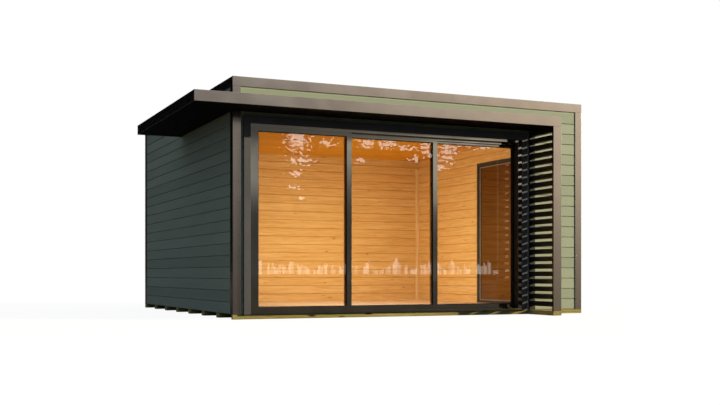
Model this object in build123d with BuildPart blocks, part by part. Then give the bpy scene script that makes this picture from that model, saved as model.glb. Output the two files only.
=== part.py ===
"""Garden office pod: a flat-roofed timber room on bearers, with a lower canopy that wraps its
front and left sides, a slatted side wing, a front of three tall sliding glass leaves and one
fixed glass light in the right wall.

Millimetres, +Z up, front towards -Y. The origin is the middle of the whole pod's footprint,
at ground level.
"""

import os

from build123d import *

# The room, measured over its corner trims
pod_width = 4337
pod_depth = 4189
pod_height = 2500
wall_thick = 45
trim_thick = 8
trim_leg = 88

# Bearers, floor, ceiling and roof
base_height = 50
front_bearer_width = 45
bearer_width = 110
bearer_count = 7
first_bearer_back = 606
floor_thick = 18
ceiling_thick = 18
roof_void = 197
roof_deck_thick = 18
wall_top_drop = 50
fascia_height = 102
edge_round = 3

# Canopy, round the front and half of the left side
canopy_reach_left = 537
canopy_reach_front = 512
canopy_side_end = 2102
canopy_drop = 262
canopy_height = 110
canopy_board = 22
soffit_recess = 14
canopy_sheet_drop = 8

# Slatted wing at the right end of the canopy
wing_from_right = 651
wing_width = 106
wing_leg_thick = 30
wing_post_thick = 21
wing_post_width = 78
slat_height = 55
slat_depth = 58
slat_pitch = 85.7
first_slat_bottom = 99.5
slat_round = 3

# Front door set: one fixed leaf and two sliding leaves on their own tracks
casing_left = 111
casing_width = 72
casing_height = 82
casing_lap = 39
casing_lap_top = 52
casing_proud = 42
casing_drop = 26
door_to_wing = 31
frame_lip = 29
frame_lip_right = 50
frame_lip_top = 28
frame_front_proud = 36
sill_thick = 18
leaf_thick = 36
leaf_gap = 8
leaf_stile = 56
leaf_bottom_rail = 48
leaf_top_rail = 32
fixed_top_rail = 45
leaf_width = 1128
leaf_overlap = 57
leaf_lift = 8
leaf_head_gap = 18
leaf_side_gap = 6
frame_back_gap = 8
frame_front_step = 4
jamb_web = 42
glass_thick = 20
glass_pocket = 12
glass_edge_gap = 3

# Tracks, guide fins and rollers
rail_thick = 6
rail_height = 12
fin_thick = 4
fin_depth = 26
guide_groove = 14
guide_groove_depth = 14
roller_groove = 18
roller_groove_depth = 28
roller_radius = 11
roller_thick = 8
roller_axle_radius = 3
roller_inset = 160
running_gap = 0.3

# Glass light in the right wall
light_front = 950
light_width = 1400
light_frame = 45
light_frame_depth = 53
light_glass_from_outside = 9
light_casing_width = 72

# Where the room's front left corner stands, so that the origin is the middle of the footprint
total_width = canopy_reach_left + pod_width
total_depth = canopy_reach_front + pod_depth
corner_x = canopy_reach_left - total_width / 2
corner_y = canopy_reach_front - total_depth / 2

# Planes of the walls, from the room's front left corner
outer_left = trim_thick
outer_right = pod_width - trim_thick
outer_front = trim_thick
outer_back = pod_depth - trim_thick
inner_left = outer_left + wall_thick
inner_right = outer_right - wall_thick
inner_front = outer_front + wall_thick
inner_back = outer_back - wall_thick

# Heights that hang from the top of the pod
wall_top = pod_height - wall_top_drop
ceiling_height = wall_top - roof_void - ceiling_thick
fascia_bottom = pod_height - fascia_height
canopy_top = pod_height - canopy_drop
canopy_bottom = canopy_top - canopy_height
casing_top = canopy_bottom - casing_drop
casing_bottom = casing_top - casing_height
door_top = casing_top - casing_lap_top
head_bottom = casing_bottom - frame_lip_top
light_top = casing_bottom

# Wing, counted from the right end
wing_right = pod_width - wing_from_right
wing_left = wing_right - wing_width
wing_middle = wing_left + wing_width / 2
wing_leg_back = wing_leg_thick - canopy_reach_front
wing_post_front = outer_front - wing_post_thick

# Planes of the door set
casing_right = wing_left - door_to_wing
door_left = casing_left + casing_lap
door_right = casing_right - casing_lap
frame_front = outer_front - frame_front_proud
casing_face = outer_front - casing_proud
leaf_front = [frame_front + frame_front_step + k * (leaf_thick + leaf_gap) for k in range(3)]
frame_back = leaf_front[2] + leaf_thick + frame_back_gap
clear_left = casing_left + casing_width + frame_lip
clear_right = casing_right - casing_width - frame_lip_right
pocket_front = leaf_front[2] - leaf_gap
pocket_end = door_right - jamb_web
sill_top = base_height + sill_thick

# Leaves: the last one ends in the right jamb's pocket, the fixed one fills the rest on the left
inner_leaf_left = pocket_end - leaf_side_gap - leaf_width
middle_leaf_left = inner_leaf_left + leaf_overlap - leaf_width
fixed_leaf_right = middle_leaf_left + leaf_overlap
leaf_left = [clear_left, middle_leaf_left, inner_leaf_left]
leaf_bottom = sill_top + leaf_lift
leaf_top = head_bottom - leaf_head_gap

# Canopy slabs inside their boards
slab_bottom = canopy_bottom + soffit_recess
slab_top = canopy_top - canopy_sheet_drop

os.makedirs("parts", exist_ok=True)


def area(x0, x1, y0, y1):
    """Draw the rectangle between two X and two Y values of the room in a level sketch."""
    with Locations((corner_x + (x0 + x1) / 2, corner_y + (y0 + y1) / 2)):
        Rectangle(x1 - x0, y1 - y0)


def face(x0, x1, z0, z1):
    """Draw the rectangle between two X values and two heights in an upright sketch."""
    with Locations((corner_x + (x0 + x1) / 2, (z0 + z1) / 2)):
        Rectangle(x1 - x0, z1 - z0)


def level(z):
    """The level plane at a height."""
    return Plane.XY.offset(z)


def facing_front(y):
    """The upright plane that faces the front, at a distance behind the room's front."""
    return Plane.XZ.offset(-(corner_y + y))


def save(piece, name):
    """Label a finished piece and write it as a STEP file of its own."""
    piece.part.label = name
    export_step(piece.part, f"parts/{name}.step")


# Treated bearers, flat under the floor and across the pod
with BuildPart() as front_bearer:
    with BuildSketch(level(0)):
        area(0, pod_width, 0, front_bearer_width)
    extrude(amount=base_height)
save(front_bearer, "front_bearer")

bearer_pitch = (outer_back - first_bearer_back) / (bearer_count - 1)
with BuildPart() as floor_bearers:
    with BuildSketch(level(0)):
        for k in range(bearer_count):
            bearer_back = first_bearer_back + k * bearer_pitch
            area(0, pod_width, bearer_back - bearer_width, bearer_back)
    extrude(amount=base_height)
save(floor_bearers, "floor_bearers")

# Floor boards, notched round the inner half of the door set
with BuildPart() as floor_boards:
    with BuildSketch(level(base_height)):
        area(inner_left, inner_right, frame_back, inner_back)
        area(door_right, inner_right, inner_front, frame_back)
        area(inner_left, door_left, inner_front, frame_back)
    extrude(amount=floor_thick)
save(floor_boards, "floor_boards")

# Walls of stacked timber boards; the side walls run through at the corners
wall_height = wall_top - base_height
with BuildPart() as left_wall:
    with BuildSketch(level(base_height)):
        area(outer_left, inner_left, outer_front, outer_back)
    extrude(amount=wall_height)
save(left_wall, "left_wall")

with BuildPart() as back_wall:
    with BuildSketch(level(base_height)):
        area(inner_left, inner_right, inner_back, outer_back)
    extrude(amount=wall_height)
save(back_wall, "back_wall")

with BuildPart() as right_wall_front:
    with BuildSketch(level(base_height)):
        area(inner_right, outer_right, outer_front, light_front)
    extrude(amount=wall_height)
save(right_wall_front, "right_wall_front")

with BuildPart() as right_wall_back:
    with BuildSketch(level(base_height)):
        area(inner_right, outer_right, light_front + light_width, outer_back)
    extrude(amount=wall_height)
save(right_wall_back, "right_wall_back")

with BuildPart() as right_wall_header:
    with BuildSketch(level(light_top)):
        area(inner_right, outer_right, light_front, light_front + light_width)
    extrude(amount=wall_top - light_top)
save(right_wall_header, "right_wall_header")

with BuildPart() as front_wall_left:
    with BuildSketch(level(base_height)):
        area(inner_left, door_left, outer_front, inner_front)
    extrude(amount=wall_height)
save(front_wall_left, "front_wall_left")

with BuildPart() as front_wall_right:
    with BuildSketch(level(base_height)):
        area(door_right, inner_right, outer_front, inner_front)
    extrude(amount=wall_height)
save(front_wall_right, "front_wall_right")

with BuildPart() as front_wall_header:
    with BuildSketch(level(door_top)):
        area(door_left, door_right, outer_front, inner_front)
    extrude(amount=wall_top - door_top)
save(front_wall_header, "front_wall_header")

# Corner trims: two boards folded round each corner, with eased outer edges
corners = {
    "front_left": (0, 1, 0, 1),
    "front_right": (pod_width, -1, 0, 1),
    "back_left": (0, 1, pod_depth, -1),
    "back_right": (pod_width, -1, pod_depth, -1),
}
for name, (x, along_x, y, along_y) in corners.items():
    with BuildPart() as corner_trim:
        with BuildSketch(level(base_height)):
            area(*sorted((x, x + along_x * trim_leg)), *sorted((y, y + along_y * trim_thick)))
            area(*sorted((x, x + along_x * trim_thick)), *sorted((y, y + along_y * trim_leg)))
        extrude(amount=fascia_bottom - base_height)
        outer_edge = corner_trim.edges().filter_by(Axis.Z).sort_by_distance((corner_x + x, corner_y + y, 0))[0]
        fillet(outer_edge, edge_round)
    save(corner_trim, f"corner_trim_{name}")

# Ceiling between the walls, roof deck on top of them
with BuildPart() as ceiling_boards:
    with BuildSketch(level(ceiling_height)):
        area(inner_left, inner_right, inner_front, inner_back)
    extrude(amount=ceiling_thick)
save(ceiling_boards, "ceiling_boards")

with BuildPart() as roof_deck:
    with BuildSketch(level(wall_top)):
        area(outer_left, outer_right, outer_front, outer_back)
    extrude(amount=roof_deck_thick)
save(roof_deck, "roof_deck")

# Roof fascia: four boards over the corner trims, the front and back ones over the side ones' ends
fascia_runs = {
    "front": (0, pod_width, 0, outer_front),
    "back": (0, pod_width, outer_back, pod_depth),
    "left": (0, outer_left, outer_front, outer_back),
    "right": (outer_right, pod_width, outer_front, outer_back),
}
for name, run in fascia_runs.items():
    with BuildPart() as roof_fascia:
        with BuildSketch(level(fascia_bottom)):
            area(*run)
        extrude(amount=fascia_height)
    save(roof_fascia, f"roof_fascia_{name}")

# Canopy slabs: framing and soffit in one, notched round the front left corner trim
slab_left = canopy_board - canopy_reach_left
slab_front = canopy_board - canopy_reach_front
slab_right = wing_right - canopy_board
slab_end = canopy_side_end - canopy_board
slab_height = slab_top - slab_bottom
with BuildPart() as canopy_front_slab:
    with BuildSketch(level(slab_bottom)):
        area(slab_left, slab_right, slab_front, 0)
        area(trim_leg, slab_right, 0, outer_front)
    extrude(amount=slab_height)
save(canopy_front_slab, "canopy_front_slab")

with BuildPart() as canopy_side_slab:
    with BuildSketch(level(slab_bottom)):
        area(slab_left, 0, 0, slab_end)
        area(0, outer_left, trim_leg, slab_end)
    extrude(amount=slab_height)
save(canopy_side_slab, "canopy_side_slab")

canopy_runs = {
    "front": (-canopy_reach_left, wing_right, -canopy_reach_front, slab_front),
    "left": (-canopy_reach_left, slab_left, slab_front, canopy_side_end),
    "end": (slab_left, outer_left, slab_end, canopy_side_end),
    "right": (slab_right, wing_right, slab_front, outer_front),
}
for name, run in canopy_runs.items():
    with BuildPart() as canopy_fascia:
        with BuildSketch(level(canopy_bottom)):
            area(*run)
        extrude(amount=canopy_height)
    save(canopy_fascia, f"canopy_fascia_{name}")

# Wing: a front leg on a sole, a post on the wall and level slats between them
with BuildPart() as wing_leg:
    with BuildSketch(level(base_height)):
        area(wing_left, wing_right, -canopy_reach_front, wing_leg_back)
    extrude(amount=canopy_bottom - base_height)
    front_edges = wing_leg.edges().filter_by(Axis.Z).group_by(Axis.Y)[0]
    fillet(front_edges, edge_round)
save(wing_leg, "wing_leg")

with BuildPart() as wing_post:
    with BuildSketch(level(base_height)):
        area(wing_middle - wing_post_width / 2, wing_middle + wing_post_width / 2, wing_post_front, outer_front)
    extrude(amount=canopy_bottom - base_height)
save(wing_post, "wing_post")

with BuildPart() as wing_sole:
    with BuildSketch(level(0)):
        area(wing_left, wing_right, -canopy_reach_front, 0)
    extrude(amount=base_height)
save(wing_sole, "wing_sole")

slat_count = int((canopy_bottom - slat_height - first_slat_bottom) // slat_pitch) + 1
with BuildPart() as wing_slats:
    with BuildSketch(facing_front(wing_leg_back)):
        for k in range(slat_count):
            slat_bottom = first_slat_bottom + k * slat_pitch
            face(wing_middle - slat_depth / 2, wing_middle + slat_depth / 2,
                 slat_bottom, slat_bottom + slat_height)
    extrude(amount=-(wing_post_front - wing_leg_back))
    fillet(wing_slats.edges().filter_by(Axis.Y), slat_round)
save(wing_slats, "wing_slats")

# Door set: jambs, head and sill; the casing part lies on the wall, the rest goes through it
with BuildPart() as door_jamb_left:
    with BuildSketch(level(base_height)):
        area(casing_left, casing_left + casing_width, casing_face, outer_front)
    extrude(amount=casing_bottom - base_height)
    with BuildSketch(level(base_height)):
        area(door_left, clear_left, frame_front, frame_back)
    extrude(amount=head_bottom - base_height)
save(door_jamb_left, "door_jamb_left")

with BuildPart() as door_jamb_right:
    with BuildSketch(level(base_height)):
        area(clear_right, casing_right, casing_face, outer_front)
    extrude(amount=casing_bottom - base_height)
    with BuildSketch(level(base_height)):
        area(clear_right, door_right, frame_front, pocket_front)
        area(pocket_end, door_right, pocket_front, frame_back)
    extrude(amount=head_bottom - base_height)
save(door_jamb_right, "door_jamb_right")

# The head carries one guide fin over each sliding leaf, the sill one rail under it
with BuildPart() as door_head:
    with BuildSketch(level(casing_bottom)):
        area(casing_left, casing_right, casing_face, outer_front)
    extrude(amount=casing_top - casing_bottom)
    with BuildSketch(level(head_bottom)):
        area(casing_left + casing_width, clear_right, frame_front, outer_front)
        area(door_left, door_right, outer_front, frame_back)
    extrude(amount=door_top - head_bottom)
    with BuildSketch(level(head_bottom)):
        for front, end in ((leaf_front[1], clear_right), (leaf_front[2], pocket_end)):
            middle = front + leaf_thick / 2
            area(clear_left, end, middle - fin_thick / 2, middle + fin_thick / 2)
    extrude(amount=-fin_depth)
save(door_head, "door_head")

with BuildPart() as door_sill:
    with BuildSketch(level(base_height)):
        area(clear_left, clear_right, frame_front, frame_back)
        area(clear_right, pocket_end, pocket_front, frame_back)
    extrude(amount=sill_thick)
    with BuildSketch(level(sill_top)):
        for front, end in ((leaf_front[1], clear_right), (leaf_front[2], pocket_end)):
            middle = front + leaf_thick / 2
            area(clear_left, end, middle - rail_thick / 2, middle + rail_thick / 2)
    extrude(amount=rail_height)
save(door_sill, "door_sill")


def leaf_sizes(k):
    """Left, right, bottom, top and top rail of leaf k; leaf 0 fills the frame and is fixed."""
    if k == 0:
        return clear_left, fixed_leaf_right, sill_top, head_bottom, fixed_top_rail
    left = leaf_left[k]
    return left, left + leaf_width, leaf_bottom, leaf_top, leaf_top_rail


leaf_names = ("fixed_leaf", "middle_leaf", "inner_leaf")
glass_bottom = leaf_bottom + leaf_bottom_rail
glass_front_set_in = (leaf_thick - glass_thick) / 2
for k, name in enumerate(leaf_names):
    left, right, bottom, top, top_rail = leaf_sizes(k)
    front = leaf_front[k]
    middle = front + leaf_thick / 2
    glass_left = left + leaf_stile
    glass_right = right - leaf_stile
    glass_top = top - top_rail

    # Four mitred profiles round a glazing pocket, grooved along the bottom and the top
    with BuildPart() as leaf_frame:
        with BuildSketch(facing_front(front)):
            face(left, right, bottom, top)
        extrude(amount=-leaf_thick)
        with BuildSketch(facing_front(front)):
            face(glass_left, glass_right, glass_bottom, glass_top)
        extrude(amount=-leaf_thick, mode=Mode.SUBTRACT)
        with BuildSketch(facing_front(front + glass_front_set_in)):
            face(glass_left - glass_pocket, glass_right + glass_pocket,
                 glass_bottom - glass_pocket, glass_top + glass_pocket)
        extrude(amount=-glass_thick, mode=Mode.SUBTRACT)
        if k > 0:
            with BuildSketch(level(bottom)):
                area(left, right, middle - roller_groove / 2, middle + roller_groove / 2)
            extrude(amount=roller_groove_depth, mode=Mode.SUBTRACT)
            with BuildSketch(level(top)):
                area(left, right, middle - guide_groove / 2, middle + guide_groove / 2)
            extrude(amount=-guide_groove_depth, mode=Mode.SUBTRACT)
    save(leaf_frame, f"{name}_frame")

    # Sealed glass unit, standing on the bottom of its pocket
    with BuildPart() as leaf_glass:
        with BuildSketch(facing_front(front + glass_front_set_in)):
            face(glass_left - glass_pocket + glass_edge_gap, glass_right + glass_pocket - glass_edge_gap,
                 glass_bottom - glass_pocket, glass_top + glass_pocket - glass_edge_gap)
        extrude(amount=-glass_thick)
    save(leaf_glass, f"{name}_glass")

    # Two rollers on the sill's rail, each on an axle between the groove's cheeks
    if k > 0:
        axle_height = sill_top + rail_height + running_gap + roller_radius
        with BuildPart() as leaf_rollers:
            for across in (left + roller_inset, right - roller_inset):
                with BuildSketch(facing_front(middle - roller_thick / 2)):
                    with Locations((corner_x + across, axle_height)):
                        Circle(roller_radius)
                extrude(amount=-roller_thick)
                with BuildSketch(facing_front(middle - roller_groove / 2)):
                    with Locations((corner_x + across, axle_height)):
                        Circle(roller_axle_radius)
                extrude(amount=-roller_groove)
        save(leaf_rollers, f"{name}_rollers")

# Fixed light in the right wall: a frame in the opening, its glass near the outside, and a casing
light_back = light_front + light_width
light_plane = Plane(
    origin=(corner_x + inner_right, corner_y, 0),
    x_dir=(0, 1, 0),
    z_dir=(1, 0, 0),
)
with BuildPart() as side_light_frame:
    with BuildSketch(light_plane):
        with Locations(((light_front + light_back) / 2, (base_height + light_top) / 2)):
            Rectangle(light_width, light_top - base_height)
            Rectangle(light_width - 2 * light_frame, light_top - base_height - 2 * light_frame,
                      mode=Mode.SUBTRACT)
    extrude(amount=light_frame_depth)
    glass_inside = light_frame_depth - light_glass_from_outside - glass_thick
    with BuildSketch(light_plane.offset(glass_inside)):
        with Locations(((light_front + light_back) / 2, (base_height + light_top) / 2)):
            Rectangle(light_width - 2 * light_frame + 2 * glass_pocket,
                      light_top - base_height - 2 * light_frame + 2 * glass_pocket)
    extrude(amount=glass_thick, mode=Mode.SUBTRACT)
save(side_light_frame, "side_light_frame")

with BuildPart() as side_light_glass:
    with BuildSketch(light_plane.offset(glass_inside)):
        with Locations(((light_front + light_back) / 2, (base_height + light_top - glass_edge_gap) / 2)):
            Rectangle(light_width - 2 * light_frame + 2 * (glass_pocket - glass_edge_gap),
                      light_top - base_height - 2 * light_frame + 2 * glass_pocket - glass_edge_gap)
    extrude(amount=glass_thick)
save(side_light_glass, "side_light_glass")

casing_plane = Plane(origin=(corner_x + outer_right, corner_y, 0), x_dir=(0, 1, 0), z_dir=(1, 0, 0))
light_casing_lap = light_casing_width / 2
with BuildPart() as side_light_casing:
    with BuildSketch(casing_plane):
        with Locations(((light_front + light_back) / 2, (base_height + light_top + light_casing_lap) / 2)):
            Rectangle(light_width + 2 * light_casing_lap, light_top + light_casing_lap - base_height)
        with Locations(((light_front + light_back) / 2, (base_height + light_top - light_casing_lap) / 2)):
            Rectangle(light_width - 2 * light_casing_lap, light_top - light_casing_lap - base_height,
                      mode=Mode.SUBTRACT)
    extrude(amount=trim_thick)
    with BuildSketch(light_plane):
        with Locations(((light_front + light_back) / 2, (base_height + light_top) / 2)):
            Rectangle(light_width, light_top - base_height)
    extrude(amount=light_frame_depth, mode=Mode.SUBTRACT)
save(side_light_casing, "side_light_casing")
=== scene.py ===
"""The garden office pod, dressed in the order in which it is put together on site: bearers, wall boards,
floor and ceiling, corner trims, roof, canopy, slatted wing, sliding door set and side light. Everything is
in metres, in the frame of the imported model."""

from math import radians

import bpy
import numpy as np
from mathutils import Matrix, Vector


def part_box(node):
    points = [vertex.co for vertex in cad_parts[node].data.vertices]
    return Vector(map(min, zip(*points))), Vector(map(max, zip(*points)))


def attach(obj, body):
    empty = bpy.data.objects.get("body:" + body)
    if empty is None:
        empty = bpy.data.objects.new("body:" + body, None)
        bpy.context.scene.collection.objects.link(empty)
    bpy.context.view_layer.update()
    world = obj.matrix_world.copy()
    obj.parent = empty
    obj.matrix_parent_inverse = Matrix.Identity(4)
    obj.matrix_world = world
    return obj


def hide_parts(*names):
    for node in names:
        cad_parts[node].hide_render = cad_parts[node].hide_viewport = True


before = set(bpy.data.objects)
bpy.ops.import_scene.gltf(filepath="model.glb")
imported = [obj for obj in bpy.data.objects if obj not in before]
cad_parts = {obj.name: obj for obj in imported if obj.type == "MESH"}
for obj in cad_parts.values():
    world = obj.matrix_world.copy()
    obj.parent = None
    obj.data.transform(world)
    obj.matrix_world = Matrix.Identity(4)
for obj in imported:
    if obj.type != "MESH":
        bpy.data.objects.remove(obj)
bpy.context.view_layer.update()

# The camera of the photograph. It stands low, level and off the front left corner, so that upright lines
# stay upright, and its lens is shifted up by a tenth of the picture's width to bring the ground line down.
lens_data = bpy.data.cameras.new("camera")
lens_data.sensor_width = 36.0
lens_data.lens = 50.53
lens_data.shift_y = 0.0996
camera = bpy.data.objects.new("camera", lens_data)
camera.location = (-4.936, -11.8195, 0.4656)
camera.rotation_euler = (radians(90.0), 0.0, radians(-24.1))
bpy.context.scene.collection.objects.link(camera)
bpy.context.scene.camera = camera
bpy.context.scene.view_settings.view_transform = "Standard"


# The studio. A warm lamp low at the front right gives the long shadows of the canopy and of the wing, two
# wide lamps light the room from inside the door, and a dome fills the rest, dim and cool on the left.
def linear(colour, gain=1.0):
    """An sRGB hex colour as linear red, green, blue and alpha: each channel c is c / 12.92 up to 0.04045
    and ((c + 0.055) / 1.055) ** 2.4 over it. gain multiplies the result."""
    channel = np.array([int(colour[i:i + 2], 16) for i in (1, 3, 5)]) / 255.0
    light = np.where(channel <= 0.04045, channel / 12.92, ((channel + 0.055) / 1.055) ** 2.4)
    return (*(light * gain).tolist(), 1.0)


def add(tree, kind, given=None, out=None, stops=(), **settings):
    """Adds one shader node and returns its output called out, or else its first. given holds a value or
    another node's output for each input, by name or by its number among the open ones, settings are the
    node's properties, and stops are the places and colours, or greys, of a colour ramp."""
    node = tree.nodes.new("ShaderNode" + kind)
    for key, value in settings.items():
        setattr(node, key, value)
    for _ in stops[2:]:
        node.color_ramp.elements.new(0.5)
    for place, element in enumerate(node.color_ramp.elements if stops else ()):
        element.position, colour = stops[place]
        element.color = (colour, colour, colour, 1.0) if isinstance(colour, float) else colour
    inputs = [socket for socket in node.inputs if socket.enabled]
    for key, value in (given or {}).items():
        socket = inputs[key] if isinstance(key, int) else next(s for s in inputs if s.name == key)
        if isinstance(value, bpy.types.NodeSocket):
            tree.links.new(value, socket)
        else:
            socket.default_value = value
    return next((s for s in node.outputs if s.enabled and out in (None, s.name)), None)


def lamp(name, kind, place, turned, power, colour, **settings):
    """A lamp that shines along its own -Z, with the settings of its kind."""
    data = bpy.data.lights.new(name, kind)
    data.energy = power
    data.color = linear(colour)[:3]
    for key, value in settings.items():
        setattr(data, key, value)
    made = bpy.data.objects.new(name, data)
    made.location = place
    made.rotation_euler = turned
    bpy.context.scene.collection.objects.link(made)
    return made


sun_towards = np.array([1.83, -1.0, 0.54])
sun_towards /= np.linalg.norm(sun_towards)
sun_turned = (np.pi / 2 - np.arcsin(sun_towards[2]), 0.0, np.arctan2(sun_towards[0], -sun_towards[1]))
lamp("key_lamp", "SUN", (0.0, 0.0, 0.0), sun_turned, 5.7, "#FFF3DC", angle=radians(1.0))

panel = {"shape": "RECTANGLE", "size": 2.8, "size_y": 0.9, "spread": radians(80.0)}
near_level = radians(84.5)
for name, place, heading, power in (
    ("room_lamp_deep", (0.25, -1.55, 1.0), 0.0, 31.0),
    ("room_lamp_across", (-1.7, 0.2, 1.0), -90.0, 33.5),
):
    made = lamp(name, "AREA", place, (near_level, 0.0, radians(heading)), power, "#FFF3E8", **panel)
    made.visible_camera = False
    made.visible_glossy = False

dome = bpy.data.worlds.new("dome")
bpy.context.scene.world = dome
dome.use_nodes = True
sky = dome.node_tree
sky.nodes.clear()
towards = add(sky, "TexCoord", out="Generated")
x, y, height = (add(sky, "SeparateXYZ", {"Vector": towards}, out=axis) for axis in "XYZ")

# Soft fill: pale at the right rear, dim and cool elsewhere.
to_rear = add(sky, "VectorMath", {0: towards, 1: (0.72, 0.66, 0.2)}, "Value", operation="DOT_PRODUCT")
rearward = add(sky, "MapRange", {"Value": to_rear, "From Min": -1.0, "From Max": 1.0})
fill = add(sky, "ValToRGB", {"Fac": rearward}, stops=[
    (0.0, (0.2, 0.28, 0.47, 1.0)), (0.45, (0.2, 0.28, 0.47, 1.0)), (1.0, (0.85, 0.87, 0.85, 1.0)),
])

# What satin metal mirrors: a cloudy haze, dim on the left, brightest ahead to the right and black at the
# left rear. By height it is dark up to the tree tops and pale over them, with one narrow dark band in the
# pale part. Where the tree tops sink, the haze under their usual height is read that much too high.
forward = add(sky, "Math", {0: y, 1: -1.0}, operation="MULTIPLY")
turn = add(sky, "Math", {0: x, 1: forward}, operation="ARCTAN2")
around = add(sky, "MapRange", {"Value": turn, "From Min": -np.pi, "From Max": np.pi})
by_turn = add(sky, "ValToRGB", {"Fac": around}, stops=[
    (0.0, 0.0), (0.12, 0.0), (0.2, (0.30, 0.32, 0.35, 1.0)), (0.32, (0.38, 0.41, 0.45, 1.0)),
    (0.42, (0.18, 0.21, 0.25, 1.0)), (0.5, (0.37, 0.41, 0.46, 1.0)), (0.545, (0.82, 0.84, 0.86, 1.0)),
    (0.575, (1.15, 1.07, 0.97, 1.0)), (0.6, (1.45, 1.3, 1.08, 1.0)), (0.667, 0.85), (0.78, 0.75),
    (0.94, 0.55), (1.0, 0.04),
])
tree_tops = 0.125
sink = add(sky, "ValToRGB", {"Fac": turn}, stops=[(0.4, 0.0), (0.49, 0.017), (0.6, 0.004), (0.68, 0.017)])
raised = add(sky, "Math", {0: height, 1: sink})
kept = add(sky, "Math", {0: height, 1: tree_tops}, operation="MAXIMUM")
read_at = add(sky, "Math", {0: raised, 1: kept}, operation="MINIMUM")
upward = add(sky, "MapRange", {"Value": read_at, "From Min": 0.0, "From Max": 0.4})
by_height = add(sky, "ValToRGB", {"Fac": upward}, stops=[
    (0.0, 0.12), (0.12, 0.1), (0.18, 0.17), (0.24, 0.5), (0.28, 0.7), (0.32, 0.68), (0.332, 0.12),
    (0.378, 0.12), (0.415, 0.68), (0.7, 0.92), (1.0, 0.97),
])
place = add(sky, "CombineXYZ", {"X": turn, "Y": height})
clouds = add(sky, "TexNoise", {"Vector": place, "Scale": 17.0, "Detail": 3.0, "Distortion": 0.6})
cloudy = add(sky, "ValToRGB", {"Fac": clouds}, stops=[(0.35, 0.62), (0.65, 1.12)])
even = add(sky, "Mix", {"Factor": 1.0, "A": by_turn, "B": by_height}, data_type="RGBA", blend_type="MULTIPLY")
haze = add(sky, "Mix", {"Factor": 1.0, "A": even, "B": cloudy}, data_type="RGBA", blend_type="MULTIPLY")

# What clear glass mirrors: tree crowns in focus, dark, with ragged gaps of pale sky, a ragged pale line at
# eye level, and open ground further to the right. Each gap is an ellipse, given by the turn and the height
# of its middle and by half its width and half its height. Fine noise breaks up its rim like leaves, and has
# to be stronger to show sky the further out it lies.
gap_list = (
    (0.3594, 0.1340, 0.0095, 0.0130), (0.3620, 0.1110, 0.0100, 0.0028), (0.3580, 0.0990, 0.0055, 0.0026),
    (0.3560, 0.0855, 0.0050, 0.0020), (0.3620, 0.0745, 0.0030, 0.0014), (0.3880, 0.1290, 0.0060, 0.0030),
    (0.4270, 0.1290, 0.0070, 0.0036), (0.4210, 0.1120, 0.0045, 0.0018), (0.4480, 0.1280, 0.0070, 0.0044),
    (0.4850, 0.1230, 0.0045, 0.0060), (0.5070, 0.1200, 0.0070, 0.0090), (0.5250, 0.1270, 0.0100, 0.0036),
    (0.5450, 0.1240, 0.0080, 0.0020), (0.4650, 0.1240, 0.0075, 0.0022), (0.4740, 0.1130, 0.0050, 0.0024),
    (0.4950, 0.1170, 0.0060, 0.0026), (0.5010, 0.1050, 0.0035, 0.0028),
)
out_of_reach = 4.0
nearest = out_of_reach
for gap_turn, gap_height, half_width, half_height in gap_list:
    within = add(sky, "Mapping", {
        "Vector": place, "Location": (gap_turn, gap_height, 0.0), "Scale": (half_width, half_height, 1.0),
    }, vector_type="TEXTURE")
    reach = add(sky, "VectorMath", {0: within}, "Value", operation="LENGTH")
    nearest = add(sky, "Math", {0: reach, 1: nearest}, operation="MINIMUM")
leaf_grid = add(sky, "Mapping", {"Vector": place, "Scale": (230.0, 390.0, 1.0)})
leaves = add(sky, "TexNoise", {"Vector": leaf_grid, "Scale": 1.0, "Detail": 1.5, "Roughness": 0.6})
shut = add(sky, "Math", {0: nearest, 1: 0.15}, operation="MULTIPLY")
open_sky = add(sky, "Math", {0: leaves, 1: shut}, operation="SUBTRACT")
gaps = add(sky, "ValToRGB", {"Fac": open_sky}, stops=[
    (0.37, (0.0, 0.0, 0.0, 1.0)), (0.39, (3.4, 3.5, 3.4, 1.0)),
])
stems = add(sky, "TexNoise", {"W": turn, "Scale": 170.0, "Detail": 6.0}, noise_dimensions="1D")
crest = add(sky, "TexNoise", {
    "W": turn, "Scale": 60.0, "Detail": 8.0, "Roughness": 0.7,
}, noise_dimensions="1D")
middle = add(sky, "MapRange", {
    "Value": crest, "From Min": 0.42, "From Max": 0.7, "To Min": 0.002, "To Max": 0.009,
})
under = add(sky, "Math", {0: height, 1: middle, 2: middle}, operation="COMPARE")
glimpse = add(sky, "ValToRGB", {"Fac": stems}, stops=[
    (0.42, (0.3, 0.3, 0.25, 1.0)), (0.56, (2.6, 2.5, 2.3, 1.0)),
])
line = add(sky, "Mix", {"Factor": 1.0, "A": glimpse, "B": under}, data_type="RGBA", blend_type="MULTIPLY")
trees = add(sky, "Mix", {"Factor": 1.0, "A": gaps, "B": line}, data_type="RGBA", blend_type="ADD")
beyond = add(sky, "MapRange", {"Value": turn, "From Min": 0.555, "From Max": 0.558})
sharp = add(sky, "Mix", {
    "Factor": beyond, "A": trees, "B": (1.9, 1.35, 1.05, 1.0),
}, data_type="RGBA", blend_type="ADD")

soft = add(sky, "Background", {"Color": fill, "Strength": 1.0})
satin = add(sky, "Background", {"Color": haze, "Strength": 1.0})
clear = add(sky, "Background", {"Color": sharp, "Strength": 1.0})
shown = add(sky, "Background", {"Color": (1.0, 1.0, 1.0, 1.0), "Strength": 1.0})
mirrored = add(sky, "MixShader", {0: add(sky, "LightPath", out="Is Singular Ray"), 1: satin, 2: clear})
for_gloss = add(sky, "MixShader", {0: add(sky, "LightPath", out="Is Glossy Ray"), 1: soft, 2: mirrored})
for_camera = add(sky, "MixShader", {0: add(sky, "LightPath", out="Is Camera Ray"), 1: for_gloss, 2: shown})
add(sky, "OutputWorld", {"Surface": for_camera})

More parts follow.
